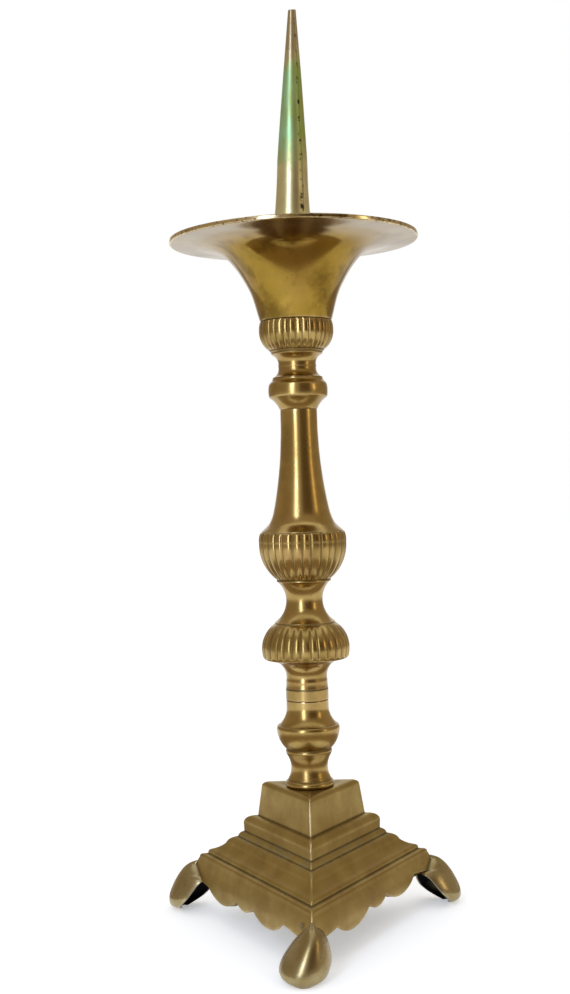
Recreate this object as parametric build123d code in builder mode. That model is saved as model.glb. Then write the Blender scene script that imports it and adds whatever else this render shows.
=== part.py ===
from build123d import *
from math import sqrt
import os

# Pricket candle stand: a turned brass stem on a three-sided base, with a drip pan and a rolled spike.
# Millimetres, +Z up. The origin lies on the stem's axis, on the surface that the three feet stand on,
# and one corner of the base points along -Y.

# Clearances
seat_gap = 0.1
running_gap = 0.08
bore_clearance = 0.6
recess_clearance = 0.9
plug_clearance = 0.3

# Tie rod, and the iron nuts and washers on it
rod_radius = 4.0
rod_tail = 5.0
rod_engagement = 13.5
nut_width = 14.0
nut_height = 6.5
nut_chamfer = 0.8
washer_margin = 0.6
washer_thickness = 2.0

# Joints of the stem: each casting has a spigot below that sits in a socket in the one beneath it
spigot_wall = 2.4
spigot_length = 3.0
socket_spare = 0.4

# Gadroons: cut lines between the ribs of the three ornamented knops
groove_width = 0.8
groove_depth = 0.6

# Base, from the floor up: heights of its steps
arch_height = 20.0
apron_height = 12.2
ledge_height = 1.4
step_height = 1.0
cavetto_height = 6.0
swell_height = 4.8
bead_height = 3.4
ovolo_upright = 3.8
ovolo_height = 6.2
plinth_height = 19.4
# Base, from the plinth's top outward: how much further each step reaches from the stem's axis
plinth_margin = 2.4
plinth_batter = 1.8
ovolo_spread = 5.0
bead_spread = 2.1
swell_spread = 4.0
cavetto_spread = 6.1
ledge_spread = 2.5
apron_spread = 3.2
# Base: curves, walls and edges
apron_bulge = 0.5
cavetto_hollow = 0.3
swell_bulge = 0.65
bead_bulge = 0.3
ovolo_bulge = 1.65
plinth_edge_round = 3.0
base_wall = 3.2
base_top_thickness = 4.2

# Scalloped lower edge of the apron: widths along a side, and drops below the arches at its ends
middle_lobe_half = 9.5
middle_lobe_drop = 3.8
cusp_drop = 0.1
side_lobe_width = 35.0
side_lobe_drop = 6.1
front_arch_drop = 3.5
# Sides by the direction that they face: how far along, up and round the hand-cut scallops sit on each, and
# how far the arches beside its left and right corners drop
side_scallops = {
    90.0: (0.0, 0.0, 0.0, 0.0, 0.0),
    210.0: (-4.0, -1.5, 1.7, 0.0, front_arch_drop),
    330.0: (-0.8, 1.4, 2.6, front_arch_drop, 0.0),
}

# Feet: hollow cast shells outside the corners, each with a tenon hammered over inside
foot_wall = 2.2
foot_lap = 6.0
foot_half_width = 12.5
foot_half_depth = 14.6
toe_half_width = 4.5
toe_tuck = 3.0
toe_depth = 5.2
front_foot_turn = -3.2
front_foot_overhang = 11.8
rear_foot_overhang = 14.2
heel_setback = 10.0
heel_bulge = 2.0
tenon_radius = 2.2
tenon_drop = 2.0
tenon_head_height = 1.4
rove_margin = 1.6
rove_thickness = 1.5
pad_setback = 15.0
# Outline of a foot: shares of its height, of the nose's overhang, of its half width and half depth
foot_sole = (0.13, 1.0, 0.9, 0.76)
foot_belly = (0.33, 0.98, 1.02, 1.0)
foot_shoulder = (0.64, 0.73, 0.76, 0.93)
foot_neck = (0.87, 0.42, 0.46, 0.6)
foot_tip = (1.0, 0.12, 0.16, 0.18)

# Lower knop, from its flange up
flange_radius = 13.4
flange_height = 3.8
flange_round = 1.2
lower_neck_height = 15.0
lower_neck_hollow = 2.4
lower_ring_radius = 12.7
lower_belly_height = 12.8
lower_belly_bulge = 1.15
lower_knop_radius = 17.2
lower_shoulder_height = 2.0
lower_shoulder_draw = 0.7
lower_cove_height = 13.7
lower_cove_hollow = 1.8
lower_chamber_wall = 4.7

# Dome knop, from its band up
band_radius = 11.7
band_height = 6.2
band_step_height = 1.0
band_step_draw = 0.4
dome_throat_height = 14.8
dome_throat_hollow = 3.8
dome_lip_height = 0.6
dome_lip_width = 2.2
dome_edge_radius = 22.6
dome_crown_height = 19.6
dome_bulge = 3.9
dome_joint_radius = 16.4
dome_chamber_wall = 6.4
dome_groove_count = 30

# Vase knop, from its neck up
vase_foot_height = 12.4
vase_foot_hollow = 1.8
vase_neck_radius = 10.0
vase_neck_height = 10.2
vase_neck_hollow = 1.15
vase_ring_radius = 14.9
vase_belly_height = 20.9
vase_bulge = 2.7
vase_radius = 23.9
vase_shoulder_height = 5.8
vase_shoulder_bulge = 0.45
vase_joint_radius = 22.4
vase_chamber_wall = 5.0
vase_groove_count = 28

# Column, from its foot up
column_sweep_height = 5.0
column_sweep_radius = 17.7
column_shin_height = 8.0
column_shin_radius = 14.9
column_waist_height = 22.0
column_waist_radius = 11.45
column_shaft_height = 31.5
column_top_radius = 10.0
column_foot_slope = 0.5

# Collar, from its cove up
collar_foot_radius = 10.9
collar_cove_height = 6.6
collar_cove_hollow = 0.65
collar_band_radius = 15.7
collar_band_height = 7.6
collar_band_bulge = 0.5
collar_top_height = 2.9
collar_top_hollow = 0.4
collar_joint_radius = 13.8

# Capital, from its neck up
capital_neck_height = 13.6
capital_neck_hollow = 3.6
capital_ring_radius = 14.2
cup_height = 11.8
cup_bulge = 1.5
cup_radius = 20.3
cup_shoulder_height = 5.5
cup_shoulder_bulge = 0.25
cup_joint_radius = 19.5
cup_recess_depth = 9.0
register_height = 1.5
cup_groove_count = 32

# Drip pan, from its foot up
pan_wall = 2.0
pan_throat_height = 18.5
pan_throat_radius = 25.4
pan_flare_height = 18.0
pan_flare_radius = 38.2
pan_brim_height = 5.1
pan_brim_radius = 52.0
pan_lip_height = 1.7
pan_rim_radius = 67.5
pan_rim_thickness = 2.4
pan_rim_round = 1.0
pan_floor_rise = 24.5
pan_floor_thickness = 3.0

# Pricket: a cone rolled from sheet, leaning a little, pinned on a tapped plug
spike_wall = 1.1
spike_root_radius = 12.4
spike_waist_height = 41.0
spike_waist_radius = 8.5
spike_shoulder_height = 13.0
spike_shoulder_radius = 8.1
spike_point_height = 88.0
spike_tip_radius = 1.85
spike_lap_thickness = 0.6
spike_lap_angle = 34.0
spike_seam_turn = -45.0
spike_lean = 1.6
spike_root_shift = 1.2
plug_wall = 2.1
plug_flange_margin = 0.6
plug_flange_thickness = 2.0
plug_shank_length = 15.0
plug_body_height = 14.0
pan_nut_wall = 4.8
pan_nut_height = 6.0
pin_radius = 1.2
pin_end = 0.7

# Sizes that follow from the rod
bore_radius = rod_radius + bore_clearance
spigot_radius = bore_radius + spigot_wall
socket_radius = spigot_radius + seat_gap
socket_depth = spigot_length + socket_spare
washer_radius = nut_width / sqrt(2) + washer_margin
plug_bore_radius = rod_radius + running_gap
plug_shank_radius = plug_bore_radius + plug_wall

# Levels of the base, from the floor up
ledge_level = arch_height + apron_height
step_level = ledge_level + ledge_height
cavetto_level = step_level + step_height
swell_level = cavetto_level + cavetto_height
bead_level = swell_level + swell_height
ovolo_level = bead_level + bead_height
ovolo_shoulder_level = ovolo_level + ovolo_upright
plinth_level = ovolo_shoulder_level + ovolo_height
base_top_level = plinth_level + plinth_height
cavity_top_level = base_top_level - base_top_thickness

# Levels of the stem, the pan and the pricket
lower_ring_level = base_top_level + flange_height + lower_neck_height
lower_knop_level = lower_ring_level + lower_belly_height
lower_shoulder_level = lower_knop_level + lower_shoulder_height
dome_level = lower_shoulder_level + lower_cove_height
band_step_level = dome_level + band_height
dome_throat_level = band_step_level + band_step_height
dome_lip_level = dome_throat_level + dome_throat_height
dome_edge_level = dome_lip_level + dome_lip_height
vase_level = dome_edge_level + dome_crown_height
vase_neck_level = vase_level + vase_foot_height
vase_ring_level = vase_neck_level + vase_neck_height
vase_belly_level = vase_ring_level + vase_belly_height
column_level = vase_belly_level + vase_shoulder_height
column_sweep_level = column_level + column_sweep_height
column_shin_level = column_sweep_level + column_shin_height
column_waist_level = column_shin_level + column_waist_height
collar_level = column_waist_level + column_shaft_height
collar_band_level = collar_level + collar_cove_height
collar_band_top = collar_band_level + collar_band_height
capital_level = collar_band_top + collar_top_height
capital_ring_level = capital_level + capital_neck_height
cup_level = capital_ring_level + cup_height
pan_level = cup_level + cup_shoulder_height
cup_recess_level = pan_level - cup_recess_depth
pan_throat_level = pan_level + pan_throat_height
pan_flare_level = pan_throat_level + pan_flare_height
pan_brim_level = pan_flare_level + pan_brim_height
pan_rim_level = pan_brim_level + pan_lip_height
pan_top_level = pan_rim_level + pan_rim_thickness
floor_level = pan_level + pan_floor_rise
floor_under_level = floor_level - pan_floor_thickness
spike_level = floor_level + plug_flange_thickness
plug_bottom_level = floor_under_level - plug_shank_length
rod_top_level = plug_bottom_level + rod_engagement

# Reaches of the base, from the stem's axis square to a side
plinth_top_reach = flange_radius + plinth_margin
plinth_reach = plinth_top_reach + plinth_batter
ovolo_reach = plinth_reach + ovolo_spread
bead_reach = ovolo_reach + bead_spread
swell_reach = bead_reach + swell_spread
cavetto_reach = swell_reach + cavetto_spread
ledge_reach = cavetto_reach + ledge_spread
apron_reach = ledge_reach + apron_spread
apron_span = 4 * apron_reach
corner_radius = 2 * apron_reach
pad_radius = corner_radius - pad_setback

os.makedirs("parts", exist_ok=True)


def keep(piece, name):
    """Label a finished piece and write it."""
    piece.label = name
    export_step(piece, f"parts/{name}.step")


def side_section(angle):
    """Upright plane square to one side of the base: x runs outward from the axis, y runs up."""
    out = Vector(1, 0, 0).rotate(Axis.Z, angle)
    return Plane(origin=(0, 0, 0), x_dir=out, z_dir=out.cross(Vector(0, 0, 1)))


def side_face(angle, reach):
    """Upright plane along one side of the base, at that reach: x runs along the side, y runs up."""
    out = Vector(1, 0, 0).rotate(Axis.Z, angle)
    along = Vector(0, 0, 1).cross(out)
    return Plane(origin=out * reach, x_dir=along, z_dir=out)


# Feet by name: direction from the stem, and how far the nose stands out beyond the corner
foot_height = arch_height + foot_lap
tenon_level = foot_height - tenon_drop
rove_radius = tenon_radius + rove_margin
foot_places = {
    "front": (270.0 + front_foot_turn, front_foot_overhang),
    "left": (150.0, rear_foot_overhang),
    "right": (30.0, rear_foot_overhang),
}


def base_moulding(angle):
    """Outer section of the base square to one side, from the floor to the plinth's top."""
    with BuildSketch(side_section(angle)) as section:
        with BuildLine():
            Polyline(
                (-apron_span, 0),
                (apron_reach, 0),
                (apron_reach, arch_height),
            )
            SagittaArc((apron_reach, arch_height), (ledge_reach, ledge_level), -apron_bulge)
            Polyline(
                (ledge_reach, ledge_level),
                (cavetto_reach, step_level),
                (cavetto_reach, cavetto_level),
            )
            SagittaArc((cavetto_reach, cavetto_level), (swell_reach, swell_level), cavetto_hollow)
            SagittaArc((swell_reach, swell_level), (bead_reach, bead_level), -swell_bulge)
            SagittaArc((bead_reach, bead_level), (ovolo_reach, ovolo_level), -bead_bulge)
            Line((ovolo_reach, ovolo_level), (ovolo_reach, ovolo_shoulder_level))
            SagittaArc((ovolo_reach, ovolo_shoulder_level), (plinth_reach, plinth_level), -ovolo_bulge)
            Polyline(
                (plinth_reach, plinth_level),
                (plinth_top_reach, base_top_level),
                (-apron_span, base_top_level),
                (-apron_span, 0),
            )
        make_face()
    return section.sketch


def base_core(angle):
    """Section of the cored hollow square to one side, open below."""
    with BuildSketch(side_section(angle)) as section:
        with BuildLine():
            Polyline(
                (-apron_span, -base_wall),
                (apron_reach - base_wall, -base_wall),
                (apron_reach - base_wall, arch_height),
                (ledge_reach - base_wall, ledge_level - base_wall),
                (cavetto_reach - base_wall, step_level),
                (bead_reach - base_wall, swell_level),
                (plinth_reach - base_wall, ovolo_level),
                (plinth_top_reach - base_wall, cavity_top_level),
                (-apron_span, cavity_top_level),
                close=True,
            )
        make_face()
    return section.sketch


# Base casting: the same moulding on three sides, mitred where the sides meet
with BuildPart() as base_outer:
    for number, angle in enumerate(side_scallops):
        mitre = Mode.INTERSECT if number else Mode.ADD
        extrude(base_moulding(angle), amount=apron_span, both=True, mode=mitre)

with BuildPart() as base_hollow:
    for number, angle in enumerate(side_scallops):
        mitre = Mode.INTERSECT if number else Mode.ADD
        extrude(base_core(angle), amount=apron_span, both=True, mode=mitre)
    # flat pads inside the corners, square to the tenons
    for foot_angle, overhang in foot_places.values():
        with BuildSketch(side_face(foot_angle, pad_radius)):
            Rectangle(apron_span, 2 * base_top_level)
        extrude(amount=pad_setback, mode=Mode.SUBTRACT)


def set_out(place, along_side, up_side):
    """Point of a side's scallops, after they are shifted and turned on that side."""
    return (place * Location((along_side, up_side, 0))).position


side_half = apron_reach * sqrt(3)
side_lobe_end = middle_lobe_half + side_lobe_width
side_lobe_middle = middle_lobe_half + side_lobe_width / 2
with BuildPart() as base_casting:
    add(base_outer.part)
    plinth_arrises = base_casting.edges().filter_by(Axis.Z, reverse=True).group_by(Axis.Z)[-1]
    fillet(plinth_arrises, plinth_edge_round)
    add(base_hollow.part, mode=Mode.SUBTRACT)
    for angle, (along, up, turn, left_drop, right_drop) in side_scallops.items():
        # the cut starts behind the wall, short of the other two sides
        cut_plane = side_face(angle, apron_reach - 3 * base_wall)
        lobes = Location((along, arch_height + up, 0), (0, 0, turn))
        left_end = set_out(lobes, -side_lobe_end, 0)
        left_cusp = set_out(lobes, -middle_lobe_half, -cusp_drop)
        right_cusp = set_out(lobes, middle_lobe_half, -cusp_drop)
        right_end = set_out(lobes, side_lobe_end, 0)
        with BuildSketch(cut_plane):
            with BuildLine():
                Polyline(
                    right_end,
                    (side_half, arch_height - right_drop),
                    (apron_span, arch_height - right_drop),
                    (apron_span, -arch_height),
                    (-apron_span, -arch_height),
                    (-apron_span, arch_height - left_drop),
                    (-side_half, arch_height - left_drop),
                    left_end,
                )
                ThreePointArc(left_end, set_out(lobes, -side_lobe_middle, -side_lobe_drop), left_cusp)
                ThreePointArc(left_cusp, set_out(lobes, 0, -middle_lobe_drop), right_cusp)
                ThreePointArc(right_cusp, set_out(lobes, side_lobe_middle, -side_lobe_drop), right_end)
            make_face()
        extrude(amount=apron_span, mode=Mode.SUBTRACT)
    with Locations((0, 0, base_top_level)):
        CounterBoreHole(bore_radius, socket_radius, socket_depth, depth=base_top_thickness)
    for foot_angle, overhang in foot_places.values():
        with BuildSketch(side_face(foot_angle, pad_radius)):
            with Locations((0, tenon_level)):
                Circle(tenon_radius + seat_gap)
        extrude(amount=corner_radius, mode=Mode.SUBTRACT)
        with BuildSketch(side_face(foot_angle, pad_radius)):
            with Locations((0, tenon_level)):
                Circle(rove_radius + seat_gap)
        extrude(amount=-pad_setback, mode=Mode.SUBTRACT)
keep(base_casting.part, "base_casting")


def pear(overhang, inset):
    """Solid pear of a foot, drawn along +X, with its outline set in by that much."""
    toe_nose = corner_radius + overhang - toe_tuck
    with BuildPart() as body:
        with BuildSketch():
            with Locations((toe_nose - toe_half_width, 0)):
                Circle(toe_half_width - inset)
        for up, out, wide, deep in (foot_sole, foot_belly, foot_shoulder, foot_neck, foot_tip):
            half_width = wide * foot_half_width - inset
            half_depth = deep * foot_half_depth - inset
            if half_width > 0:
                nose = corner_radius + out * overhang - inset
                with BuildSketch(Plane.XY.offset(up * foot_height)):
                    with Locations((nose - half_depth, 0)):
                        Ellipse(half_depth, half_width)
        loft()
    return body.part


with BuildPart() as apron_corner:
    add(base_outer.part)
    split(bisect_by=Plane.XY.offset(arch_height), keep=Keep.TOP)

# Feet: a shell like half a pear outside each corner, open behind, with a tenon through the corner
for side, (foot_angle, overhang) in foot_places.items():
    heel = (corner_radius + overhang - toe_tuck - toe_depth, 0)
    heel_top = (corner_radius - heel_setback, arch_height)
    tenon_plane = Plane.YZ.offset(pad_radius - rove_thickness)
    with BuildPart() as foot:
        add(pear(overhang, 0))
        add(pear(overhang, foot_wall), mode=Mode.SUBTRACT)
        # behind, the shell is cut back along a curve from the heel up to the apron
        with BuildSketch(Plane.XZ):
            with BuildLine():
                Polyline(
                    heel_top,
                    (0, arch_height),
                    (0, -foot_wall),
                    (heel[0], -foot_wall),
                    heel,
                )
                SagittaArc(heel, heel_top, heel_bulge)
            make_face()
        extrude(amount=corner_radius, both=True, mode=Mode.SUBTRACT)
        with Locations(Rotation(0, 0, -foot_angle)):
            add(apron_corner.part, mode=Mode.SUBTRACT)
            add(base_casting.part, mode=Mode.SUBTRACT)
        with BuildSketch(tenon_plane):
            with Locations((0, tenon_level)):
                Circle(tenon_radius)
        extrude(amount=pad_setback + rove_thickness + foot_wall / 2)
        with BuildSketch(tenon_plane):
            with Locations((0, tenon_level)):
                Circle((tenon_radius + rove_radius) / 2)
        extrude(amount=-tenon_head_height)
    keep(foot.part.rotate(Axis.Z, foot_angle), "foot_" + side)

# Foot roves: small washers under the hammered heads of the tenons
with BuildPart() as foot_roves:
    for foot_angle, overhang in foot_places.values():
        with BuildSketch(side_face(foot_angle, pad_radius - rove_thickness)):
            with Locations((0, tenon_level)):
                Circle(rove_radius)
                Circle(tenon_radius + seat_gap, mode=Mode.SUBTRACT)
        extrude(amount=rove_thickness)
keep(foot_roves.part, "foot_roves")


def stem_core(bottom, top, bottom_radius, top_radius, chamber=()):
    """Draw a casting's inside: socket at the top joint, cored bore, spigot at the bottom joint."""
    Polyline(
        (top_radius, top),
        (socket_radius, top),
        (socket_radius, top - socket_depth),
        (bore_radius, top - socket_depth),
        *chamber,
        (bore_radius, bottom - spigot_length),
        (spigot_radius, bottom - spigot_length),
        (spigot_radius, bottom),
        (bottom_radius, bottom),
    )


# Lower knop: flange on the plinth, neck, plain knop
flange_edge_radius = flange_radius - flange_round
flange_top_level = base_top_level + flange_height
lower_shoulder_radius = lower_knop_radius - lower_shoulder_draw
with BuildPart() as lower_knop:
    with BuildSketch(Plane.XZ):
        with BuildLine():
            stem_core(
                base_top_level,
                dome_level,
                flange_edge_radius,
                band_radius,
                (
                    (bore_radius, lower_shoulder_level),
                    (lower_knop_radius - lower_chamber_wall, lower_knop_level),
                    (bore_radius, lower_ring_level),
                ),
            )
            SagittaArc(
                (flange_edge_radius, base_top_level),
                (flange_edge_radius, flange_top_level),
                -flange_round,
            )
            SagittaArc(
                (flange_edge_radius, flange_top_level),
                (lower_ring_radius, lower_ring_level),
                lower_neck_hollow,
            )
            SagittaArc(
                (lower_ring_radius, lower_ring_level),
                (lower_knop_radius, lower_knop_level),
                -lower_belly_bulge,
            )
            Line(
                (lower_knop_radius, lower_knop_level),
                (lower_shoulder_radius, lower_shoulder_level),
            )
            SagittaArc(
                (lower_shoulder_radius, lower_shoulder_level),
                (band_radius, dome_level),
                lower_cove_hollow,
            )
        make_face()
    revolve(axis=Axis.Z)
keep(lower_knop.part, "lower_knop")


def gadroon_lines(count, start, end, bulge):
    """Blades that cut the lines between a knop's ribs: each follows the outline, a little inside it."""
    inner_start = (start[0] - groove_depth, start[1])
    inner_end = (end[0] - groove_depth, end[1])
    with BuildPart() as blade:
        with BuildSketch(Plane.XZ):
            with BuildLine():
                SagittaArc(inner_start, inner_end, -bulge)
                Polyline(
                    inner_end,
                    (pan_rim_radius, end[1]),
                    (pan_rim_radius, start[1]),
                    inner_start,
                )
            make_face()
        extrude(amount=groove_width / 2, both=True)
    return [blade.part.rotate(Axis.Z, 360 * number / count) for number in range(count)]


# Dome knop: band, neck, gadrooned dome
dome_edge = (dome_edge_radius, dome_edge_level)
dome_lip = (dome_edge_radius - dome_lip_width, dome_lip_level)
dome_neck = (band_radius - band_step_draw, dome_throat_level)
dome_joint = (dome_joint_radius, vase_level)
with BuildPart() as dome_knop:
    with BuildSketch(Plane.XZ):
        with BuildLine():
            stem_core(
                dome_level,
                vase_level,
                band_radius,
                dome_joint_radius,
                (
                    (bore_radius, vase_level - 2 * socket_depth),
                    (dome_edge_radius - dome_chamber_wall, (dome_edge_level + vase_level) / 2),
                    (bore_radius, dome_edge_level),
                ),
            )
            Polyline((band_radius, dome_level), (band_radius, band_step_level), dome_neck)
            SagittaArc(dome_neck, dome_lip, dome_throat_hollow)
            Line(dome_lip, dome_edge)
            SagittaArc(dome_edge, dome_joint, -dome_bulge)
        make_face()
    revolve(axis=Axis.Z)
    add(gadroon_lines(dome_groove_count, dome_edge, dome_joint, dome_bulge), mode=Mode.SUBTRACT)
keep(dome_knop.part, "dome_knop")

# Vase knop: neck, ring, gadrooned vase
vase_neck = (vase_neck_radius, vase_neck_level)
vase_ring = (vase_ring_radius, vase_ring_level)
vase_belly = (vase_radius, vase_belly_level)
vase_joint = (vase_joint_radius, column_level)
with BuildPart() as vase_knop:
    with BuildSketch(Plane.XZ):
        with BuildLine():
            stem_core(
                vase_level,
                column_level,
                dome_joint_radius,
                vase_joint_radius,
                (
                    (bore_radius, column_level - 2 * socket_depth),
                    (vase_radius - vase_chamber_wall, vase_belly_level - socket_depth),
                    (bore_radius, vase_ring_level),
                ),
            )
            SagittaArc(dome_joint, vase_neck, vase_foot_hollow)
            SagittaArc(vase_neck, vase_ring, vase_neck_hollow)
            SagittaArc(vase_ring, vase_belly, -vase_bulge)
            SagittaArc(vase_belly, vase_joint, -vase_shoulder_bulge)
        make_face()
    revolve(axis=Axis.Z)
    add(gadroon_lines(vase_groove_count, vase_ring, vase_belly, vase_bulge), mode=Mode.SUBTRACT)
keep(vase_knop.part, "vase_knop")

# Column: slender shaft that sweeps out to its foot
with BuildPart() as column:
    with BuildSketch(Plane.XZ):
        with BuildLine():
            stem_core(column_level, collar_level, vase_joint_radius, column_top_radius)
            Spline(
                vase_joint,
                (column_sweep_radius, column_sweep_level),
                (column_shin_radius, column_shin_level),
                (column_waist_radius, column_waist_level),
                (column_top_radius, collar_level),
                tangents=((-1, column_foot_slope), (0, 1)),
            )
        make_face()
    revolve(axis=Axis.Z)
keep(column.part, "column")

# Collar: moulded ring at the top of the shaft
collar_band_foot = (collar_band_radius, collar_band_level)
collar_band_head = (collar_band_radius, collar_band_top)
collar_joint = (collar_joint_radius, capital_level)
with BuildPart() as collar:
    with BuildSketch(Plane.XZ):
        with BuildLine():
            stem_core(collar_level, capital_level, collar_foot_radius, collar_joint_radius)
            SagittaArc((collar_foot_radius, collar_level), collar_band_foot, collar_cove_hollow)
            SagittaArc(collar_band_foot, collar_band_head, -collar_band_bulge)
            SagittaArc(collar_band_head, collar_joint, collar_top_hollow)
        make_face()
    revolve(axis=Axis.Z)
keep(collar.part, "collar")

# Capital: neck and gadrooned cup, recessed above for the nut that holds the stem together
capital_ring = (capital_ring_radius, capital_ring_level)
cup_belly = (cup_radius, cup_level)
cup_joint = (cup_joint_radius, pan_level)
cup_recess_radius = washer_radius + recess_clearance
register_radius = cup_joint_radius - pan_wall - seat_gap
with BuildPart() as capital:
    with BuildSketch(Plane.XZ):
        with BuildLine():
            Polyline(
                cup_joint,
                (register_radius, pan_level),
                (register_radius, pan_level + register_height),
                (cup_recess_radius, pan_level + register_height),
                (cup_recess_radius, cup_recess_level),
                (bore_radius, cup_recess_level),
                (bore_radius, capital_level - spigot_length),
                (spigot_radius, capital_level - spigot_length),
                (spigot_radius, capital_level),
                collar_joint,
            )
            SagittaArc(collar_joint, capital_ring, capital_neck_hollow)
            SagittaArc(capital_ring, cup_belly, -cup_bulge)
            SagittaArc(cup_belly, cup_joint, -cup_shoulder_bulge)
        make_face()
    revolve(axis=Axis.Z)
    add(gadroon_lines(cup_groove_count, capital_ring, cup_belly, cup_bulge), mode=Mode.SUBTRACT)
keep(capital.part, "capital")


def trumpet(inset):
    """Points of the pan's trumpet from its foot to the rim, set in and up by that much."""
    outline = (
        cup_joint,
        (pan_throat_radius, pan_throat_level),
        (pan_flare_radius, pan_flare_level),
        (pan_brim_radius, pan_brim_level),
        (pan_rim_radius - pan_rim_round, pan_rim_level),
    )
    return [(radius - inset, level + inset) for radius, level in outline]


# Drip pan: a trumpet wall with a thick rim, and a floor web that the plug passes through
rim_top = (pan_rim_radius - pan_rim_round, pan_top_level)
bowl_foot = (cup_joint_radius - pan_wall, pan_level)
with BuildPart() as drip_pan:
    with BuildSketch(Plane.XZ):
        # the web ends inside the wall
        with BuildLine():
            web_edge = Spline(*trumpet(pan_wall / 2))
            Polyline(web_edge @ 1, (0, (web_edge @ 1).Y), (0, (web_edge @ 0).Y), web_edge @ 0)
        make_face()
        with Locations((0, (floor_level + floor_under_level) / 2)):
            Rectangle(2 * pan_rim_radius, pan_floor_thickness, mode=Mode.INTERSECT)
            Rectangle(2 * (plug_shank_radius + running_gap), pan_floor_thickness, mode=Mode.SUBTRACT)
        with BuildLine():
            under = Spline(*trumpet(0))
            SagittaArc(under @ 1, rim_top, -pan_rim_round)
            bowl = Spline(*trumpet(pan_wall))
            Line(rim_top, bowl @ 1)
            Polyline(bowl @ 0, bowl_foot, under @ 0)
        make_face()
    revolve(axis=Axis.Z)
keep(drip_pan.part, "drip_pan")


def spike_section(inner_offset, outer_offset):
    """Section of the rolled sheet between two distances from its outer face, on its own axis."""
    outer = (
        (spike_root_radius, 0),
        (spike_waist_radius, spike_waist_height),
        (spike_shoulder_radius, spike_waist_height + spike_shoulder_height),
        (spike_tip_radius, spike_waist_height + spike_shoulder_height + spike_point_height),
    )
    with BuildSketch(Plane.XZ) as section:
        with BuildLine():
            Polyline(
                *[(radius + outer_offset, rise) for radius, rise in outer],
                *[(radius + inner_offset, rise) for radius, rise in reversed(outer)],
                close=True,
            )
        make_face()
    return section.sketch


# Pricket spike: sheet rolled to a cone with a lapped seam, open at the tip and cut flat at the root
pin_place = Location((0, 0, spike_level + plug_body_height / 2), (90, 0, 0))
with BuildPart() as rolled_cone:
    revolve(spike_section(-spike_wall, 0), axis=Axis.Z)
    revolve(
        spike_section(-spike_wall / 2, spike_lap_thickness),
        axis=Axis.Z,
        revolution_arc=spike_lap_angle,
    )

with BuildPart() as pricket_spike:
    with Locations(Location((-spike_root_shift, 0, spike_level), (0, spike_lean, 0))):
        add(rolled_cone.part.rotate(Axis.Z, spike_seam_turn))
    split(bisect_by=Plane.XY.offset(spike_level + seat_gap), keep=Keep.TOP)
    with Locations(pin_place):
        Cylinder(pin_radius, 4 * spike_root_radius, mode=Mode.SUBTRACT)
keep(pricket_spike.part, "pricket_spike")

# Spike plug: flange on the pan's floor, shank through it, tapped from below for the rod
spike_taper = (spike_root_radius - spike_waist_radius) / spike_waist_height
plug_body_radius = spike_root_radius - spike_wall - spike_root_shift - plug_clearance
plug_tip_radius = plug_body_radius - spike_taper * plug_body_height
plug_flange_radius = spike_root_radius + spike_root_shift + plug_flange_margin
with BuildPart() as spike_plug:
    with BuildSketch(Plane.XZ):
        with BuildLine():
            Polyline(
                (0, rod_top_level + rod_radius),
                (plug_bore_radius, rod_top_level + rod_radius / 2),
                (plug_bore_radius, plug_bottom_level),
                (plug_shank_radius, plug_bottom_level),
                (plug_shank_radius, floor_level),
                (plug_flange_radius, floor_level),
                (plug_flange_radius, spike_level),
                (plug_body_radius, spike_level),
                (plug_tip_radius, spike_level + plug_body_height),
                (0, spike_level + plug_body_height),
                close=True,
            )
        make_face()
    revolve(axis=Axis.Z)
    with Locations(pin_place):
        Cylinder(pin_radius, 4 * spike_root_radius, mode=Mode.SUBTRACT)
keep(spike_plug.part, "spike_plug")

# Spike pin: driven through the cone and the plug, with a little of each end left proud
pin_half_length = spike_root_radius - spike_taper * plug_body_height / 2 + pin_end
with BuildPart() as spike_pin:
    with Locations(pin_place):
        Cylinder(pin_radius, 2 * pin_half_length)
keep(spike_pin.part, "spike_pin")

# Pan nut: ring on the shank under the floor, which keeps the pan on the plug
with BuildPart() as pan_nut:
    with BuildSketch(Plane.XY.offset(floor_under_level - seat_gap - pan_nut_height)):
        Circle(plug_shank_radius + pan_nut_wall)
        Circle(plug_shank_radius, mode=Mode.SUBTRACT)
    extrude(amount=pan_nut_height)
    rims = pan_nut.edges().filter_by(GeomType.CIRCLE)
    chamfer(rims.sort_by(SortBy.RADIUS)[-2:], nut_chamfer)
keep(pan_nut.part, "pan_nut")

# Tie rod: iron, through the whole stem
base_nut_level = cavity_top_level - washer_thickness - nut_height
with BuildPart() as tie_rod:
    with BuildSketch(Plane.XY.offset(base_nut_level - rod_tail)):
        Circle(rod_radius)
    extrude(amount=rod_top_level - base_nut_level + rod_tail)
    chamfer(tie_rod.edges().filter_by(GeomType.CIRCLE), nut_chamfer)
keep(tie_rod.part, "tie_rod")


def square_nut(bottom):
    """Square iron nut on the rod."""
    with BuildPart() as nut:
        with BuildSketch(Plane.XY.offset(bottom)):
            Rectangle(nut_width, nut_width)
            Circle(rod_radius, mode=Mode.SUBTRACT)
        extrude(amount=nut_height)
        uprights = nut.edges().filter_by(GeomType.LINE).filter_by(Axis.Z)
        chamfer(uprights.sort_by_distance((0, 0, bottom))[-4:], nut_chamfer)
    return nut.part


def washer(bottom):
    """Round iron washer on the rod."""
    with BuildPart() as ring:
        with BuildSketch(Plane.XY.offset(bottom)):
            Circle(washer_radius)
            Circle(rod_radius + seat_gap, mode=Mode.SUBTRACT)
        extrude(amount=washer_thickness)
    return ring.part


# Iron washer and square nut at each end of the stem: under the plinth's top, and in the capital's recess
keep(washer(cavity_top_level - washer_thickness), "base_washer")
keep(square_nut(base_nut_level), "base_nut")
keep(washer(cup_recess_level), "stem_washer")
keep(square_nut(cup_recess_level + washer_thickness), "stem_nut")
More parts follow.
